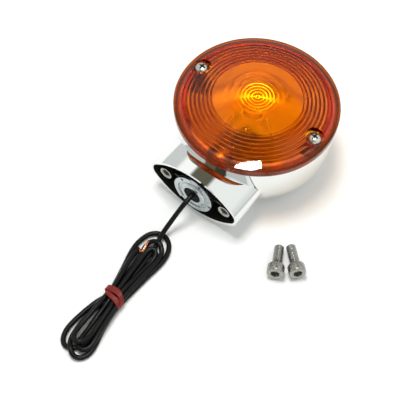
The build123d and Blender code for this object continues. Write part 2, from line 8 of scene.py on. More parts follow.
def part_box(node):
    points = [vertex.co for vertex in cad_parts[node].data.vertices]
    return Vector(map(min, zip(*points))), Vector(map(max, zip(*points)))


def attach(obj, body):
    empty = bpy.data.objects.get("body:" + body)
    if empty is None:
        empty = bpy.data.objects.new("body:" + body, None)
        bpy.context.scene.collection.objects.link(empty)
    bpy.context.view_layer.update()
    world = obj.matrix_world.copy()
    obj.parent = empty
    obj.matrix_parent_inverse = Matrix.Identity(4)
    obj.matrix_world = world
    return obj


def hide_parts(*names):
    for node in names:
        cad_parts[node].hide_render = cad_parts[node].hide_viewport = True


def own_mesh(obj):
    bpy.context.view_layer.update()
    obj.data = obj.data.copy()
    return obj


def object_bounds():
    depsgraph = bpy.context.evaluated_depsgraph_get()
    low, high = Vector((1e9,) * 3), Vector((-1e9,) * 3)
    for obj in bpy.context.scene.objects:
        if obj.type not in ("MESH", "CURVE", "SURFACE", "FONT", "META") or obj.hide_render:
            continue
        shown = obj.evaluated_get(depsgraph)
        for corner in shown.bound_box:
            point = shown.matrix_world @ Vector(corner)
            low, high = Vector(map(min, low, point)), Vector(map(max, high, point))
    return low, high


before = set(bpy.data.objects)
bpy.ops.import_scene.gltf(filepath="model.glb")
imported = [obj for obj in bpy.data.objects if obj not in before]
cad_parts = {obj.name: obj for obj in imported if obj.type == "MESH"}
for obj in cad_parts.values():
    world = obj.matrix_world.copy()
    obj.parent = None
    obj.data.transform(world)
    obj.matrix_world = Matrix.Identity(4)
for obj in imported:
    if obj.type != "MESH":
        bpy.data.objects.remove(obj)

# A motorcycle turn signal lying on its back. The CAD nodes keep their shape and get their finishes
# here. The lead, its tie and its bare end, the threaded screws and the spring are built here.
# Everything is in metres, in the frame of the CAD model: +Z out of the lens, +Y along the lamp.

MM = 0.001
CAD_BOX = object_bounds()
FLOOR_Z = CAD_BOX[0].z
LENS_LOW, LENS_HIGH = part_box("lens")
LENS_CENTRE = (LENS_LOW + LENS_HIGH) / 2

# ---------------------------------------------------------------- camera and floor

CAMERA_PLACE = Vector((0.1676, -0.2301, 0.4577))
CAMERA_AZIMUTH = radians(35.49)
CAMERA_ELEVATION = radians(58.5)
CAMERA_ROLL = radians(2.63)
CAMERA_LENS = 98.96  # on a 36 mm sensor


def make_camera():
    data = bpy.data.cameras.new("camera")
    data.lens = CAMERA_LENS
    data.sensor_width = 36
    data.clip_start = 0.01
    camera = bpy.data.objects.new("camera", data)
    bpy.context.scene.collection.objects.link(camera)
    forward = Vector((
        -sin(CAMERA_AZIMUTH) * cos(CAMERA_ELEVATION),
        cos(CAMERA_AZIMUTH) * cos(CAMERA_ELEVATION),
        -sin(CAMERA_ELEVATION),
    ))
    level = Vector((cos(CAMERA_AZIMUTH), sin(CAMERA_AZIMUTH), 0))
    upright = level.cross(forward)
    right = level * cos(CAMERA_ROLL) + upright * sin(CAMERA_ROLL)
    up = upright * cos(CAMERA_ROLL) - level * sin(CAMERA_ROLL)
    turn = Matrix((right, up, -forward)).transposed()
    camera.matrix_world = Matrix.Translation(CAMERA_PLACE) @ turn.to_4x4()
    bpy.context.scene.camera = camera


def area_light(name, place, target, size, power):
    data = bpy.data.lights.new(name, "AREA")
    data.shape = "RECTANGLE"
    data.size, data.size_y = size
    data.energy = power
    light = bpy.data.objects.new(name, data)
    bpy.context.scene.collection.objects.link(light)
    light.location = place
    light.rotation_euler = (Vector(target) - Vector(place)).to_track_quat("-Z", "Y").to_euler()
    return light


FLOOR_HALF = 3.0


def make_stage():
    """A plain matt floor."""
    material = bpy.data.materials.new("floor_white")
    material.use_nodes = True
    shader = material.node_tree.nodes["Principled BSDF"]
    shader.inputs["Base Color"].default_value = (0.92, 0.92, 0.915, 1)
    shader.inputs["Roughness"].default_value = 0.9
    shader.inputs["Specular IOR Level"].default_value = 0.0
    corners = [(x * FLOOR_HALF, y * FLOOR_HALF, FLOOR_Z) for x, y in ((-1, -1), (1, -1), (1, 1), (-1, 1))]
    mesh = bpy.data.meshes.new("floor")
    mesh.from_pydata(corners, [], [(0, 1, 2, 3)])
    mesh.materials.append(material)
    plane = bpy.data.objects.new("floor", mesh)
    bpy.context.scene.collection.objects.link(plane)


# ---------------------------------------------------------------- node helpers


def plug(tree, socket, value):
    """Links a socket to another, or sets it to a plain value."""
    if isinstance(value, bpy.types.NodeSocket):
        tree.links.new(value, socket)
    else:
        socket.default_value = value


def maths(tree, operation, *values):
    """A math node that works on sockets and numbers."""
    node = tree.nodes.new("ShaderNodeMath")
    node.operation = operation
    for socket, value in zip(node.inputs, values):
        plug(tree, socket, value)
    return node.outputs["Value"]


def vector_maths(tree, operation, result, *values):
    """A vector math node that works on sockets and vectors."""
    node = tree.nodes.new("ShaderNodeVectorMath")
    node.operation = operation
    for socket, value in zip(node.inputs, values):
        plug(tree, socket, value)
    return node.outputs[result]


def ramp(tree, source, start, end, low=0.0, high=1.0, smooth=False):
    """Runs from low to high while the source runs from start to end."""
    node = tree.nodes.new("ShaderNodeMapRange")
    if smooth:
        node.interpolation_type = "SMOOTHSTEP"
    for name, value in (("From Min", start), ("From Max", end), ("To Min", low), ("To Max", high)):
        node.inputs[name].default_value = value
    tree.links.new(source, node.inputs["Value"])
    return node.outputs["Result"]


def mixed(tree, factor, first, second):
    """A colour mixed from two, each of them a socket or a plain colour."""
    node = tree.nodes.new("ShaderNodeMix")
    node.data_type = "RGBA"
    tree.links.new(factor, node.inputs["Factor"])
    for name, colour in (("A", first), ("B", second)):
        plug(tree, node.inputs[name], colour if isinstance(colour, bpy.types.NodeSocket) else (*colour, 1))
    return node.outputs["Result"]


def noise(tree, place, scale, detail):
    node = tree.nodes.new("ShaderNodeTexNoise")
    node.inputs["Scale"].default_value = scale
    node.inputs["Detail"].default_value = detail
    tree.links.new(place, node.inputs["Vector"])
    return node.outputs["Fac"]


# ---------------------------------------------------------------- world and lights

# Patches of the studio round the object: direction, where each begins and ends in degrees from it,
# and its colour. Softboxes stand right and left, with the dark ceiling and the dark camera between.
STUDIO_PATCHES = [
    ((0.42, 0.42, 0.80), 27, 42, (1.0, 1.02, 0.99)),
    ((-0.60, 0.42, 0.68), 6, 18, (1.15, 1.17, 1.14)),
    ((-0.17, 0.44, 0.88), 12, 19, (0.13, 0.125, 0.085)),
    ((0.02, 0.10, 0.99), 5, 14, (0.14, 0.135, 0.095)),
    ((0.0, -0.46, 0.89), 20, 27, (0.13, 0.125, 0.085)),
    ((0.303, -0.426, 0.853), 11, 16, (0.05, 0.05, 0.04)),
]
STUDIO_GREY = (0.70, 0.72, 0.71)


def make_world():
    """Grey all round, with each patch laid over the ones before it."""
    world = bpy.data.worlds.new("studio")
    world.use_nodes = True
    tree = world.node_tree
    place = tree.nodes.new("ShaderNodeTexCoord").outputs["Generated"]
    colour = STUDIO_GREY
    for direction, inner, outer, patch_colour in STUDIO_PATCHES:
        towards = vector_maths(tree, "DOT_PRODUCT", "Value", place, Vector(direction).normalized())
        edge = ramp(tree, towards, cos(radians(outer)), cos(radians(inner)), smooth=True)
        colour = mixed(tree, edge, colour, patch_colour)
    tree.links.new(colour, tree.nodes["Background"].inputs["Color"])
    bpy.context.scene.world = world


KEY_PLACE, KEY_SIZE, KEY_POWER = (-0.22, 0.09, 1.09), (0.40, 0.40), 8.5
FILL_PLACE, FILL_SIZE, FILL_POWER = (0.50, -0.63, 0.53), (0.25, 0.25), 0.4
OVERHEAD_PLACE, OVERHEAD_SIZE, OVERHEAD_POWER = (0.012, 0.008, 0.90), (0.20, 0.055), 4.5
OVERHEAD_TURN = radians(46)  # its long side runs nearly level across the camera's view


def make_light():
    """A key for the matt surfaces, a weak fill, and a narrow lamp overhead that only glares."""
    make_world()
    bpy.context.scene.view_settings.view_transform = "Standard"
    key = area_light("key", KEY_PLACE, LENS_CENTRE, KEY_SIZE, KEY_POWER)
    key.visible_glossy = False
    key.visible_transmission = False
    overhead = area_light("overhead", OVERHEAD_PLACE, LENS_CENTRE, OVERHEAD_SIZE, OVERHEAD_POWER)
    overhead.visible_diffuse = False
    overhead.rotation_euler = (0, 0, OVERHEAD_TURN)
    area_light("fill", FILL_PLACE, LENS_CENTRE, FILL_SIZE, FILL_POWER)


# ---------------------------------------------------------------- finishes

NOISE_LOW, NOISE_HIGH = 0.3, 0.7  # where nearly all of the noise's values lie
FINISHES = {}


def finish(name, colour, second, grain, rough, bump=0.0, **sockets):
    """A procedural finish: noise of the given grain, per metre, mixes two colours, varies the
    roughness and raises a fine bump. The other sockets of the shader are set by name."""
    material = bpy.data.materials.new(name)
    material.use_nodes = True
    tree = material.node_tree
    shader = tree.nodes["Principled BSDF"]
    place = tree.nodes.new("ShaderNodeTexCoord").outputs["Object"]
    blotches = noise(tree, place, grain, 6.0)
    tree.links.new(mixed(tree, blotches, colour, second), shader.inputs["Base Color"])
    tree.links.new(ramp(tree, blotches, NOISE_LOW, NOISE_HIGH, *rough), shader.inputs["Roughness"])
    if bump:
        relief = tree.nodes.new("ShaderNodeBump")
        relief.inputs["Strength"].default_value = 1.0
        relief.inputs["Distance"].default_value = bump
        tree.links.new(noise(tree, place, grain * 3, 3.0), relief.inputs["Height"])
        tree.links.new(relief.outputs["Normal"], shader.inputs["Normal"])
    for socket, value in sockets.items():
        shader.inputs[socket.replace("_", " ")].default_value = value
    FINISHES[name] = material
    return material


def metal(name, colour, second, grain, rough, bump=0.0):
    finish(name, colour, second, grain, rough, bump, Metallic=1.0)


def make_finishes():
    metal("chrome", (0.83, 0.845, 0.835), (0.78, 0.80, 0.79), 60, (0.015, 0.05))
    finish("bowl_inside", (0.96, 0.96, 0.94), (0.90, 0.90, 0.88), 120, (0.14, 0.24), Metallic=0.66)
    # near black: painted shade inside the stub's hollow, the lens screws' columns and the screws' cross
    # recesses
    finish("recess_painted_shade", (0.02, 0.02, 0.017), (0.05, 0.048, 0.04), 500, (0.3, 0.6), 0.00005, Metallic=0.6)
    metal("boss_face", (0.5, 0.49, 0.45), (0.34, 0.33, 0.29), 900, (0.2, 0.4))
    # dark metal: painted shade of the holes the threads sit in
    metal("thread_painted_shade", (0.16, 0.15, 0.13), (0.08, 0.075, 0.065), 1500, (0.25, 0.4))
    finish("gasket_foam", (0.02, 0.02, 0.02), (0.04, 0.04, 0.04), 1500, (0.7, 0.9), 0.00008)
    metal("screw_steel", (0.72, 0.71, 0.66), (0.58, 0.56, 0.5), 1200, (0.18, 0.35), 0.00001)
    metal("zinc_plate", (0.60, 0.64, 0.65), (0.48, 0.52, 0.53), 700, (0.22, 0.4), 0.00001)
    finish("black_rubber", (0.002, 0.002, 0.002), (0.005, 0.005, 0.005), 900, (0.5, 0.7), 0.00002,
           Specular_IOR_Level=0.1)
    metal("spring_steel", (0.55, 0.54, 0.52), (0.42, 0.41, 0.4), 1500, (0.2, 0.35))
    finish("brown_phenolic", (0.2, 0.085, 0.035), (0.13, 0.05, 0.02), 1500, (0.4, 0.6), 0.00002)
    metal("contact_brass", (0.8, 0.6, 0.28), (0.66, 0.46, 0.2), 1200, (0.2, 0.4))
    metal("lamp_brass", (0.76, 0.66, 0.44), (0.6, 0.5, 0.32), 500, (0.25, 0.4))
    finish("black_glass", (0.012, 0.012, 0.02), (0.02, 0.02, 0.03), 700, (0.08, 0.2))
    metal("solder", (0.62, 0.62, 0.62), (0.45, 0.45, 0.46), 900, (0.3, 0.5), 0.00002)
    finish("clear_glass", (1.0, 1.0, 1.0), (0.97, 0.99, 1.0), 80, (0.0, 0.01), Transmission_Weight=1.0,
           IOR=1.5)
    metal("support_wire", (0.6, 0.56, 0.5), (0.45, 0.42, 0.38), 1500, (0.3, 0.45))
    metal("tungsten", (0.35, 0.35, 0.37), (0.2, 0.2, 0.22), 2500, (0.35, 0.5))
    finish("wire_black", (0.0025, 0.0025, 0.0025), (0.005, 0.005, 0.0045), 300, (0.25, 0.4), 0.00001,
           Specular_IOR_Level=0.18)
    finish("tie_red", (0.22, 0.010, 0.005), (0.12, 0.007, 0.004), 500, (0.35, 0.55), 0.00006,
           Specular_IOR_Level=0.3)
    metal("bare_copper", (0.95, 0.46, 0.26), (0.8, 0.3, 0.14), 1500, (0.2, 0.35))
    metal("stainless", (0.42, 0.415, 0.385), (0.30, 0.295, 0.27), 1200, (0.2, 0.36), 0.00001)
    make_lens_finish()

# The lens, by distance from its middle: where its moulded rings begin and end, and where its rim
# starts to cloud and is fully clouded.
LENS_RING_START, LENS_RING_END, LENS_RING_STEP = 22.5 * MM, 36.85 * MM, 2.05 * MM
LENS_RIM_START, LENS_RIM_END = 37.0 * MM, 38.6 * MM
# The painted shade at each joint between two rings is darkest this near to it, and lit from this far off, in
# steps; its colour follows.
LENS_JOINT_DARK, LENS_JOINT_LIT = 0.10, 0.34
LENS_JOINT_PAINTED_SHADE = (0.24, 0.08, 0.02)
LENS_RIM_COLOUR = (0.44, 0.16, 0.03)
LENS_RIM_CLEAR = 0.88
LENS_DEPTH_COLOUR = (0.996, 0.80, 0.008, 1)
LENS_DEPTH_DENSITY = 1200.0


def lens_radius(tree):
    """Each point's distance from the middle of the lens, seen along Z."""
    place = tree.nodes.new("ShaderNodeTexCoord").outputs["Object"]
    centred = vector_maths(tree, "SUBTRACT", "Vector", place, LENS_CENTRE)
    level = vector_maths(tree, "MULTIPLY", "Vector", centred, (1, 1, 0))
    return vector_maths(tree, "LENGTH", "Value", level)


def painted_joint_shade(tree, radius):
    """How much painted shade each point gets from the joints between the moulded rings."""
    from_first = maths(tree, "SUBTRACT", radius, LENS_RING_START)
    from_joint = maths(tree, "PINGPONG", from_first, LENS_RING_STEP / 2)
    lit, dark = LENS_RING_STEP * LENS_JOINT_LIT, LENS_RING_STEP * LENS_JOINT_DARK
    joint = ramp(tree, from_joint, lit, dark, smooth=True)
    middle, half = (LENS_RING_START + LENS_RING_END) / 2, (LENS_RING_END - LENS_RING_START) / 2
    ringed = maths(tree, "COMPARE", radius, middle, half)
    return maths(tree, "MULTIPLY", joint, ringed)


def let_lamps_through(tree, shader):
    """Lamps shine straight through to whatever is behind the surface."""
    ray = tree.nodes.new("ShaderNodeLightPath")
    through = tree.nodes.new("ShaderNodeBsdfTransparent")
    choose = tree.nodes.new("ShaderNodeMixShader")
    tree.links.new(ray.outputs["Is Shadow Ray"], choose.inputs["Fac"])
    tree.links.new(shader.outputs["BSDF"], choose.inputs[1])
    tree.links.new(through.outputs["BSDF"], choose.inputs[2])
    tree.links.new(choose.outputs["Shader"], tree.nodes["Material Output"].inputs["Surface"])


def make_lens_finish():
    """Clear plastic that depth turns amber, with painted shade at the joints of its rings, and clouded at
    the rim.
    """
    material = finish("lens_amber", (1.0, 0.99, 0.94), (1.0, 0.96, 0.88), 40, (0.0, 0.02), IOR=1.49,
                      Specular_Tint=(0.35, 0.35, 0.35, 1))
    tree = material.node_tree
    shader = tree.nodes["Principled BSDF"]
    depth = tree.nodes.new("ShaderNodeVolumeAbsorption")
    depth.inputs["Color"].default_value = LENS_DEPTH_COLOUR
    depth.inputs["Density"].default_value = LENS_DEPTH_DENSITY
    tree.links.new(depth.outputs["Volume"], tree.nodes["Material Output"].inputs["Volume"])
    radius = lens_radius(tree)
    plain = shader.inputs["Base Color"].links[0].from_socket
    # painted shade darkens the lens's colour at the joints of its rings
    shaded = mixed(tree, painted_joint_shade(tree, radius), plain, LENS_JOINT_PAINTED_SHADE)
    at_rim = ramp(tree, radius, LENS_RIM_START, LENS_RIM_END)
    tree.links.new(mixed(tree, at_rim, shaded, LENS_RIM_COLOUR), shader.inputs["Base Color"])
    tree.links.new(ramp(tree, at_rim, 0.0, 1.0, 1.0, LENS_RIM_CLEAR), shader.inputs["Transmission Weight"])
    let_lamps_through(tree, shader)


def dress(piece, name):
    piece.data.materials.clear()
    piece.data.materials.append(FINISHES[name])


# ---------------------------------------------------------------- mesh helpers


def link_mesh(name, vertices, faces, finish_name, body, slot, *nodes):
    """A smooth mesh piece that rides on a body and stands for the given CAD nodes."""
    mesh = bpy.data.meshes.new(name)
    mesh.from_pydata([tuple(v) for v in vertices], [], faces)
    mesh.update()
    mesh.polygons.foreach_set("use_smooth", [True] * len(mesh.polygons))
    piece = bpy.data.objects.new(name, mesh)
    bpy.context.scene.collection.objects.link(piece)
    dress(piece, finish_name)
    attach(piece, body)
    if nodes:
        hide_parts(*nodes)
    return piece


def skin(rings, closed=False, capped=True):
    """Vertices and faces of a surface through rings of points, one after the other. The first and
    last rings are closed by a face, or joined to each other if the surface is closed."""
    count = len(rings[0])
    vertices = np.concatenate(rings)
    faces = []
    pairs = len(rings) if closed else len(rings) - 1
    for i in range(pairs):
        a, b = i * count, (i + 1) % len(rings) * count
        for j in range(count):
            k = (j + 1) % count
            faces.append((a + j, a + k, b + k, b + j))
    if capped and not closed:
        faces.append(tuple(reversed(range(count))))
        faces.append(tuple((len(rings) - 1) * count + j for j in range(count)))
    return vertices, faces


def sharpen(piece, degrees):
    """Creases steeper than this many degrees shade as edges."""
    piece.data.set_sharp_from_angle(angle=radians(degrees))


# ---------------------------------------------------------------- lead and hank

WIRE_D = 2.5 * MM
WIRE_R = WIRE_D / 2
LEAD_ROUTE = [
    (0.0, 0.0024, 0.0),
    (0.0, -0.0055, 0.0),
    (-0.0009, -0.0115, -0.0039),
    (-0.0018, -0.0175, -0.0089),
    (-0.0019, -0.0232, -0.0117),
]
# The hank, in millimetres: x, y and height above the floor. Each run starts at the tie, in one of four
# columns and two layers of strands, and goes round its loop to where the next run starts.
TIE_Y = -64.0
TIE_COLUMNS = (-1.9, 0.6, 3.1, 5.6)
TIE_LAYERS = (1.25, 3.7)
LEAD_IN = [(-1.4, -27.0, 2.4), (-0.6, -31.5, 1.4), (0.2, -38.0, 1.25), (1.2, -46.0, 1.25),
           (2.5, -55.0, 1.25)]
# column, layer, and the points of the run after the tie
WIRE_TURNS = [
    (2, 0, [(4.5, -72, 1.25), (5.9, -80, 1.25), (6.5, -86, 1.25), (5.7, -91, 1.25), (3.4, -94.4, 1.25),
            (0.6, -96.3, 1.25), (-2.2, -95.9, 1.25), (-4.6, -92.9, 1.25), (-5.8, -87.6, 1.25),
            (-5.3, -79, 1.25), (-3.8, -70.4, 1.25)]),
    (0, 0, [(-3.2, -57, 1.25), (-6.1, -45.3, 1.25), (-7.9, -38.9, 1.25), (-8.8, -33.0, 1.25),
            (-7.9, -26.9, 1.25), (-5.3, -23.5, 1.25), (-1.4, -22.2, 1.25), (2.8, -23.9, 1.25),
            (5.6, -27.6, 1.25), (6.7, -32.2, 1.25), (6.7, -38, 1.25), (6.3, -45, 1.25), (5.9, -55, 1.25)]),
    (3, 0, [(5.8, -71.5, 1.25), (7.0, -78, 1.25), (9.2, -85.1, 1.25), (10.6, -90.6, 1.25),
            (10.3, -94.6, 1.25), (8.3, -97.3, 1.6), (5.6, -98.0, 2.7), (2.6, -96.2, 3.8),
            (0.0, -93.0, 3.7), (-1.7, -88, 2.5), (-2.3, -81, 1.4), (-1.9, -72, 1.25)]),
    (1, 0, [(-0.9, -56, 1.25), (-2.1, -47, 1.25), (-3.1, -39, 1.25), (-4.3, -34.2, 1.8), (-4.4, -30.6, 3.0),
            (-2.3, -28.2, 4.2), (1.0, -28.0, 4.2), (3.8, -30.4, 3.2), (5.3, -34.9, 2.9), (5.5, -40, 3.3),
            (5.3, -46, 3.5), (5.0, -55, 3.6)]),
    (3, 1, [(6.2, -71, 3.6), (7.5, -79, 3.6), (9.1, -86, 3.4), (9.4, -90.8, 3.2), (7.1, -93.9, 3.2),
            (4.3, -92.9, 3.2), (2.9, -88.5, 2.8), (2.1, -82, 2.8), (1.6, -77, 3.2), (1.0, -70.5, 3.6)]),
    (1, 1, [(0.3, -57, 3.6), (-0.6, -49.5, 3.4), (-1.3, -42.5, 3.2), (-1.9, -37.5, 3.2), (-1.6, -33.6, 3.5),
            (0.6, -31.8, 3.9), (2.9, -33.8, 3.4), (3.3, -38.2, 3.0), (2.8, -44, 3.0), (3.1, -53, 3.5)]),
    (2, 1, [(4.3, -71, 3.6), (5.4, -78, 3.6), (6.2, -84, 3.9), (6.2, -88.8, 4.8), (4.1, -92.4, 5.5),
            (0.9, -92.0, 4.8), (-0.9, -88.6, 4.1), (-1.4, -82, 3.6), (-1.6, -75, 3.6), (-1.8, -69, 3.6)]),
    (0, 1, [(-2.5, -58, 3.6), (-4.2, -51, 3.6), (-5.6, -45.4, 3.6), (-6.6, -39.9, 3.5), (-7.3, -35.4, 3.0)]),
]
STRAND_STEP = 2.0
FLOOR_CLEAR = 0.02
CURVE_CUTS = 12  # pieces between two given points, before they are stepped off evenly


def on_floor(points):
    """The same points in metres, from millimetres above the floor."""
    return np.asarray(points) * MM + np.array([0, 0, FLOOR_Z])


def laid_points():
    """The line from the route's last two points through the hank to the cut end."""
    points = [(x / MM, y / MM, (z - FLOOR_Z) / MM) for x, y, z in LEAD_ROUTE[-2:]]
    points += LEAD_IN
    for column, layer, turn in WIRE_TURNS:
        points.append((TIE_COLUMNS[column], TIE_Y, TIE_LAYERS[layer]))
        points += turn
    return np.array(points)


def smooth_line(points, step):
    """Points a step apart along a smooth line through the given ones."""
    before = np.vstack([2 * points[:1] - points[1:2], points[:-1]])
    after = np.vstack([points[1:], 2 * points[-1:] - points[-2:-1]])
    slopes = (after - before) / 2
    share = np.linspace(0, 1, CURVE_CUTS, endpoint=False)[:, None]
    line = []
    for a, b, at_a, at_b in zip(points, points[1:], slopes, slopes[1:]):
        line.append((1 + 2 * share) * (1 - share) ** 2 * a + share * (1 - share) ** 2 * at_a
                    + share**2 * (3 - 2 * share) * b + share**2 * (share - 1) * at_b)
    line = np.vstack(line + [points[-1:]])
    run = np.concatenate([[0], np.cumsum(np.linalg.norm(np.diff(line, axis=0), axis=1))])
    marks = np.linspace(0, run[-1], int(run[-1] / step))
    return np.column_stack([np.interp(marks, run, line[:, k]) for k in range(3)])


SETTLE_ROUNDS = 400
NEIGHBOURS = 5  # points this near along the line may be nearer than a diameter
PUSH_SHARE = 0.35
EASE_SHARE = 0.25  # how far a point's shift is drawn to that of the points beside it
SIDE_KEEP = 0.95  # how much of each sideways shift stays from round to round
SINK = 0.02 * MM


def settle(points, held):
    """Pushes the wire's crossing strands apart and lays them on each other and the floor. The
    first few points are held where they are."""
    laid = points.copy()
    count = len(points)
    apart = np.abs(np.subtract.outer(np.arange(count), np.arange(count))) > NEIGHBOURS
    for _ in range(SETTLE_ROUNDS):
        gap = points[:, None] - points[None]
        distance = np.maximum(np.linalg.norm(gap, axis=2), 1e-6)
        close = apart & (distance < WIRE_D)
        push = gap / distance[..., None] * ((WIRE_D - distance) * close * PUSH_SHARE)[..., None]
        moved = points + push.sum(axis=1) - laid
        moved[1:-1] += EASE_SHARE * (moved[:-2] + moved[2:] - 2 * moved[1:-1])
        moved[:, :2] *= SIDE_KEEP
        points = laid + moved
        points[:, 2] -= SINK
        points[:, 2] = np.maximum(points[:, 2], FLOOR_Z + WIRE_R)
        points[:held] = laid[:held]
    return points


ROUTE_GAP = 1.2 * MM  # from the route's last point to the hank's first


def wire_points():
    """The whole line: the route as it is given, then the hank."""
    hank = on_floor(smooth_line(laid_points(), STRAND_STEP))
    past_route = next(i for i, point in enumerate(hank) if point[1] < LEAD_ROUTE[-1][1] - ROUTE_GAP)
    points = np.vstack([LEAD_ROUTE, hank[past_route:]])
    return settle(points, held=len(LEAD_ROUTE))


def make_wire(points):
    curve = bpy.data.curves.new("lead", "CURVE")
    curve.dimensions = "3D"
    curve.bevel_depth = WIRE_R
    curve.bevel_resolution = 5
    curve.use_fill_caps = True
    spline = curve.splines.new("NURBS")
    spline.points.add(len(points) - 1)
    for point, place in zip(spline.points, points):
        point.co = (*place, 1)
    spline.order_u = 3
    spline.use_endpoint_u = True
    spline.resolution_u = 6
    wire = bpy.data.objects.new("lead", curve)
    bpy.context.scene.collection.objects.link(wire)
    dress(wire, "wire_black")
    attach(wire, "root")
    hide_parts("lead_wire", "lead_hank")
    return wire


def tube(path, radius, sides):
    """Rings of a round tube along a list of points."""
    path = np.array(path)
    rings = []
    for i, point in enumerate(path):
        ahead = path[min(i + 1, len(path) - 1)] - path[max(i - 1, 0)]
        ahead /= np.linalg.norm(ahead)
        level = abs(ahead[2]) < 0.9
        across = np.cross(ahead, (0.0, 0.0, 1.0) if level else (1.0, 0.0, 0.0))
        across /= np.linalg.norm(across)
        up = np.cross(across, ahead)
        turns = 2 * pi * np.arange(sides) / sides
        rings.append(point + radius * (np.outer(np.cos(turns), across) + np.outer(np.sin(turns), up)))
    return rings


# The bare strands leave the cut end together, turn down beside it, and stand up in a hook.
BARE_ROUTE = [(-6.3, -35.6, 2.4), (-5.2, -35.9, 2.7), (-4.0, -36.5, 2.8), (-3.5, -35.6, 3.1),
              (-4.0, -33.0, 3.6), (-4.6, -30.6, 3.6), (-4.3, -29.9, 3.2)]
# How far the strands stray from that route at each of its points, as shares of the strays below.
BARE_SPREAD = (0.15, 0.45, 0.45, 0.4, 0.55, 0.8, 1.0)
BARE_STRAY, BARE_WAVE, BARE_ROOT_STRAY = 0.7, 0.18, 0.2
BARE_STRANDS = 14
BARE_R = 0.13
BARE_STEP = 0.35


def make_bare_end(cut):
    """Copper strands in a loose bundle that splays along its run."""
    rng = np.random.default_rng(7)
    route = np.array(BARE_ROUTE)
    spread = np.array(BARE_SPREAD)[:, None]
    vertices, faces, count = [], [], 0
    for _ in range(BARE_STRANDS):
        own = route + rng.normal(0, BARE_STRAY, 3) * spread + rng.normal(0, BARE_WAVE, route.shape) * spread
        own[0] = np.array(cut) / MM - np.array([0, 0, FLOOR_Z / MM]) + rng.normal(0, BARE_ROOT_STRAY, 3)
        own[:, 2] = np.maximum(own[:, 2], BARE_R + FLOOR_CLEAR)
        path = on_floor(smooth_line(own[: len(own) - rng.integers(0, 2)], BARE_STEP))
        found, sides = skin(tube(path, BARE_R * MM, sides=6))
        faces += [tuple(v + count for v in face) for face in sides]
        vertices.append(found)
        count += len(found)
    return link_mesh("bare_copper_strands", np.concatenate(vertices), faces, "bare_copper", "root",
                     "bare_copper", "bare_strands")


# The tie is one soft band wound twice, in millimetres. At each quarter turn: y, and how far it stands out.
TIE_WINDING = [(-66.2, 0.0), (-65.2, 0.1), (-62.9, 0.2), (-63.6, 0.0), (-64.9, 0.3), (-62.0, 0.9),
               (-62.4, 0.9), (-65.0, 0.4)]
TIE_MIDDLE = (1.9, 2.95)
TIE_HALF = (5.0, 2.75)
TIE_CORNERS = 0.8  # below 1 the loop is squarer than an ellipse
TIE_BAND = (1.45, 0.55)  # half width and half thickness
TIE_EDGES = 0.75  # below 1 the band's edges are blunter than an ellipse's
TIE_STEPS = 160
TIE_SIDES = 18


def tie_ring(centre, normal, half_width):
    """The band's section at one place along it: a flat oval, and never in the floor."""
    section = []
    for j in range(TIE_SIDES):
        around = 2 * pi * j / TIE_SIDES
        flat = half_width * np.sign(cos(around)) * abs(cos(around)) ** TIE_EDGES
        thick = TIE_BAND[1] * (1 + 0.35 * cos(2 * around)) * sin(around)
        section.append(centre + np.array([0, flat, 0]) + normal * thick)
    section = np.array(section)
    section[:, 2] = np.maximum(section[:, 2], FLOOR_CLEAR)
    return on_floor(section)


def make_tie():
    """The band, a little lumpy along its run, and pulled round the strands."""
    rings = []
    for i in range(TIE_STEPS):
        place = len(TIE_WINDING) * i / TIE_STEPS
        k, t = int(place), place % 1
        ease = t * t * (3 - 2 * t)
        here, following = np.array(TIE_WINDING[k]), np.array(TIE_WINDING[(k + 1) % len(TIE_WINDING)])
        y, out = here * (1 - ease) + following * ease
        turn = 4 * pi * i / TIE_STEPS
        side = np.array([cos(turn), sin(turn)])
        side = np.sign(side) * np.abs(side) ** TIE_CORNERS
        normal = np.array([cos(turn) / TIE_HALF[0], 0, sin(turn) / TIE_HALF[1]])
        normal /= np.linalg.norm(normal)
        centre = np.array([TIE_MIDDLE[0] + side[0] * TIE_HALF[0], y, TIE_MIDDLE[1] + side[1] * TIE_HALF[1]])
        # the waves come round whole over the two turns, so the band's ends meet
        centre += normal * (out + 0.12 * sin(turn * 3.5 + 1))
        lumps = 1 + 0.09 * sin(turn * 2.5) + 0.05 * sin(turn * 5.5 + 2)
        rings.append(tie_ring(centre, normal, TIE_BAND[0] * lumps))
    vertices, faces = skin(rings, closed=True)
    return link_mesh("tie_band", vertices, faces, "tie_red", "root", "tie_red", "hank_tie")


# ---------------------------------------------------------------- screws and spring

CAP_HEAD_R, CAP_HEAD_HEIGHT = 4.25 * MM, 5.0 * MM
CAP_SHANK_R, CAP_SHANK_LENGTH = 2.4 * MM, 12.0 * MM
CAP_HEX_HALF = 2.0 * MM
CAP_HEX_DEPTH = 2.6 * MM
KNURL_DEPTH = 0.07 * MM
THREAD_PITCH = 0.8 * MM
THREAD_DEPTH = 0.4 * MM
THREAD_STEPS = 150
THREAD_GAP = 0.7 * MM  # plain shank between the head and the thread
THREAD_FADE = 0.8 * MM
TIP_TAPER = 0.5 * MM
CREASE = 40
SCREW_LIFT = 0.02 * MM
# where the middle of each head's face is, in millimetres, and the way the screw points, in degrees from +Y
CAP_SCREWS = {"left": (54.9, -7.3, 27.5), "right": (63.5, -0.3, 46.5)}
SIDES = 96
TURNS = 2 * pi * np.arange(SIDES) / SIDES


def ring(radii, height):
    """A ring of points about Z at one height, for one radius or one radius for each point."""
    radii = np.asarray(radii) * np.ones(SIDES)
    return np.column_stack([radii * np.cos(TURNS), radii * np.sin(TURNS), np.full(SIDES, height)])


def thread_slope(height):
    """How far each point round a helical thread is from the thread's middle line, from 0 to 1."""
    phase = (height / THREAD_PITCH - TURNS / (2 * pi)) % 1.0
    return np.abs(2 * phase - 1)


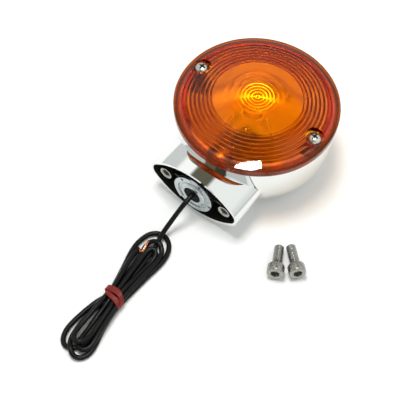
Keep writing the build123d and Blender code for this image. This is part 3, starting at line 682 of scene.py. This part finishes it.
def cap_screw_rings():
    """The screw points along +Z, with its head's face at the origin."""
    hexagon = CAP_HEX_HALF / np.cos((TURNS + pi / 6) % (pi / 3) - pi / 6)
    knurl = CAP_HEAD_R - KNURL_DEPTH * (0.5 + 0.5 * np.cos(SIDES / 2 * TURNS))
    rings = [
        ring(0.05 * MM, CAP_HEX_DEPTH + 0.5 * MM),
        ring(hexagon * 0.97, CAP_HEX_DEPTH),
        ring(hexagon * 0.98, CAP_HEX_DEPTH - 0.05 * MM),
        ring(hexagon, 0.2 * MM),
        ring(hexagon * 1.02, 0.12 * MM),
        ring(hexagon * 1.1, 0),
        ring(CAP_HEAD_R - 0.6 * MM, 0),
        ring(CAP_HEAD_R - 0.3 * MM, 0.12 * MM),
        ring(CAP_HEAD_R - 0.12 * MM, 0.45 * MM),
        ring(knurl, 0.6 * MM),
        ring(knurl, CAP_HEAD_HEIGHT - 0.5 * MM),
        ring(CAP_HEAD_R - 0.12 * MM, CAP_HEAD_HEIGHT - 0.35 * MM),
        ring(CAP_HEAD_R - 0.25 * MM, CAP_HEAD_HEIGHT),
        ring(CAP_SHANK_R + 0.25 * MM, CAP_HEAD_HEIGHT),
        ring(CAP_SHANK_R - 0.1 * MM, CAP_HEAD_HEIGHT + 0.2 * MM),
    ]
    start, end = CAP_HEAD_HEIGHT + THREAD_GAP, CAP_HEAD_HEIGHT + CAP_SHANK_LENGTH
    for i in range(THREAD_STEPS + 1):
        height = start + (end - start) * i / THREAD_STEPS
        fade = min(1.0, (height - start) / THREAD_FADE)
        taper = max(0.0, height - (end - TIP_TAPER))
        groove = np.clip(1.15 * thread_slope(height) - 0.1, 0, 1)  # flat at its crest and its root
        radii = CAP_SHANK_R - THREAD_DEPTH * fade * groove
        rings.append(ring(np.minimum(radii, CAP_SHANK_R - taper), height))
    rings.append(ring(0.05 * MM, end))
    return rings


def make_cap_screw(side):
    """A loose cap screw that rests on its head's rim and its tip."""
    face_x, face_y, heading = CAP_SCREWS[side]
    droop = np.arctan((CAP_HEAD_R - CAP_SHANK_R) / CAP_SHANK_LENGTH)
    face_z = FLOOR_Z + SCREW_LIFT + CAP_HEAD_HEIGHT * sin(droop) + CAP_HEAD_R * cos(droop)
    turn = radians(heading)
    along = Vector((-sin(turn) * cos(droop), cos(turn) * cos(droop), -sin(droop)))
    pointed = along.to_track_quat("Z", "Y").to_matrix().to_4x4()
    place = Matrix.Translation((face_x * MM, face_y * MM, face_z)) @ pointed
    vertices, faces = skin(cap_screw_rings())
    vertices = [place @ Vector(v) for v in vertices]
    node = f"mounting_screw_{side}"
    piece = link_mesh(f"cap_screw_{side}", vertices, faces, "stainless", node, "stainless", node)
    sharpen(piece, CREASE)


BOSS_X = 17.9 * MM
BOSS_THREAD_START, BOSS_THREAD_LENGTH = 0.45 * MM, 11.5 * MM
BOSS_THREAD_R, BOSS_THREAD_DEPTH = 2.12 * MM, 0.32 * MM


def make_boss_threads():
    """The tapped thread inside each mounting boss, painted dark as the shade in its hole."""
    rings = []
    for i in range(THREAD_STEPS + 1):
        height = BOSS_THREAD_START + BOSS_THREAD_LENGTH * i / THREAD_STEPS
        crest = np.clip(1.2 * thread_slope(height), 0, 1)
        rings.append(ring(BOSS_THREAD_R - BOSS_THREAD_DEPTH * crest, height))
    vertices, faces = skin(rings, capped=False)
    for side, x in (("left", -BOSS_X), ("right", BOSS_X)):
        placed = [(x + v[0], v[2], v[1]) for v in vertices]
        link_mesh(f"boss_thread_{side}", placed, faces, "thread_painted_shade", "root", "chrome")


SPRING_R = 4.6 * MM
SPRING_WIRE_R = 0.38 * MM
SPRING_TURNS = 3.5
SPRING_STEPS = 126


def make_spring():
    """The contact's spring, a coil from end to end of the CAD spring; the real one shortens as the lamp is
    pushed in.
    """
    low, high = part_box("contact_spring")
    start, end = low.y + SPRING_WIRE_R, high.y - SPRING_WIRE_R
    route = []
    for i in range(SPRING_STEPS + 1):
        share = i / SPRING_STEPS
        angle = 2 * pi * SPRING_TURNS * share
        route.append((SPRING_R * cos(angle), start + (end - start) * share, SPRING_R * sin(angle)))
    vertices, faces = skin(tube(route, SPRING_WIRE_R, sides=10))
    piece = link_mesh("spring_coil", vertices, faces, "spring_steel", "root", "spring_steel",
                      "contact_spring")
    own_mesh(piece)


# ---------------------------------------------------------------- finishes of the CAD nodes

NODE_FINISHES = {
    "lens": "lens_amber",
    "lens_gasket": "gasket_foam",
    "socket_shell": "zinc_plate",
    "socket_flange": "zinc_plate",
    "grommet": "black_rubber",
    "contact_plunger": "brown_phenolic",
    "contact_button": "contact_brass",
    "bulb_base": "lamp_brass",
    "bulb_insulator": "black_glass",
    "bulb_contact": "solder",
    "bulb_glass": "clear_glass",
    "bulb_stem": "clear_glass",
    "filament_supports": "support_wire",
    "bulb_filament": "tungsten",
}
NEAR = 0.1 * MM  # a margin for telling faces apart by where they are

LENS_SCREW_X = 34.3 * MM
SCREW_HEAD_SEAT = 21.15 * MM
SCREW_CROWN_Z = 23.45 * MM
SCREW_CROWN_BALL = 4.603 * MM
SCREW_RECESS_HALF = 1.9 * MM
SCREW_RECESS_FLOOR = SCREW_HEAD_SEAT + 0.5 * MM
BELOW_CROWN = 0.08 * MM


def set_finishes(node, names):
    """Gives a CAD node these finishes, for its faces to choose from, and returns its mesh."""
    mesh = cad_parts[node].data
    mesh.materials.clear()
    for name in names:
        mesh.materials.append(FINISHES[name])
    return mesh


def dress_lens_screw(node):
    """Bright head, with painted shade in the cross recess and on the thread."""
    steel, dark, thread = range(3)
    mesh = set_finishes(node, ("screw_steel", "recess_painted_shade", "thread_painted_shade"))
    low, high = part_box(node)
    middle = (low + high) / 2
    for polygon in mesh.polygons:
        x, y, z = polygon.center
        out = ((x - middle.x) ** 2 + (y - middle.y) ** 2) ** 0.5
        drop = (SCREW_CROWN_BALL**2 - min(out, SCREW_CROWN_BALL) ** 2) ** 0.5 - SCREW_CROWN_BALL
        crown = SCREW_CROWN_Z + drop
        # the thread below the head and the cross recess are painted dark, as their shade
        if z < SCREW_HEAD_SEAT - NEAR:
            polygon.material_index = thread
        elif out < SCREW_RECESS_HALF and SCREW_RECESS_FLOOR < z < crown - BELOW_CROWN:
            polygon.material_index = dark
        else:
            polygon.material_index = steel


# The stub's hollow is an almond in section, with its tips cut short, and starts just behind its face.
STUB_SIDE_R = 34.77 * MM
STUB_HALF_HEIGHT = 15.0 * MM
STUB_WALL = 0.7 * MM
STUB_TIP_X = 25.6 * MM
STUB_HOLLOW_Y = -0.99 * MM
# Distances from the bowl's axis: its wall outside and inside, and how near to it the stub's faces come.
BOWL_OUTSIDE_R = 39.9 * MM
BOWL_INSIDE_R = 38.6 * MM
STUB_REACH_R = 30 * MM
BOWL_BOTTOM = 0.5 * MM  # the bowl's underside lies within this of the floor
LUG_R = 4.0 * MM + NEAR
LUG_REACH = 38.5 * MM
BOSS_R = 3.45 * MM
BOSS_RIM_Y = 0.6 * MM


def in_lug(x, y):
    """True inside the column that takes either lens screw."""
    return (abs(x) - LENS_SCREW_X) ** 2 + (y - LENS_CENTRE.y) ** 2 < LUG_R**2


def in_stub(x, y, z):
    """True inside the outline of the stub, on the near side of the bowl's axis."""
    in_almond = (x**2 + (abs(z) + STUB_SIDE_R - STUB_HALF_HEIGHT) ** 2) ** 0.5 < STUB_SIDE_R - STUB_WALL
    return in_almond and abs(x) < STUB_TIP_X and STUB_HOLLOW_Y < y < LENS_CENTRE.y


def on_boss(x, y, z):
    """True on the face of either tapped boss."""
    return (abs(x) - BOSS_X) ** 2 + z**2 < BOSS_R**2 and y < BOSS_RIM_Y


def dress_housing():
    """Chrome outside, a duller plate inside the bowl, and painted shade, near black, inside the stub's
    hollow and the lens screws' columns.
    """
    chrome, inside, dark, boss = range(4)
    mesh = set_finishes("housing", ("chrome", "bowl_inside", "recess_painted_shade", "boss_face"))
    for polygon in mesh.polygons:
        x, y, z = polygon.center
        from_axis = Vector((x, y - LENS_CENTRE.y, 0)).length
        outward = Vector((x, y - LENS_CENTRE.y, 0)).normalized().dot(polygon.normal)
        past_bowl = from_axis > BOWL_OUTSIDE_R or (from_axis > STUB_REACH_R and outward > 0.2)
        faces_in = outward < 0.3 or polygon.normal.z > 0.3
        # inside the stub's hollow and the lens screws' columns the casting is painted near black, as shade
        if in_stub(x, y, z) and past_bowl:
            polygon.material_index = boss if on_boss(x, y, z) else dark
        elif in_lug(x, y) and z > 0 and from_axis < LUG_REACH:
            polygon.material_index = dark
        elif from_axis < BOWL_INSIDE_R and faces_in and z > FLOOR_Z + BOWL_BOTTOM:
            polygon.material_index = inside
        else:
            polygon.material_index = chrome


make_finishes()
make_camera()
points = wire_points()
wire = make_wire(points)
copper = make_bare_end(points[-1])
tie = make_tie()
make_stage()
make_light()
for side in CAP_SCREWS:
    make_cap_screw(side)
make_boss_threads()
make_spring()
for node, name in NODE_FINISHES.items():
    dress(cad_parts[node], name)
dress_housing()
for node in ("lens_screw_left", "lens_screw_right"):
    dress_lens_screw(node)
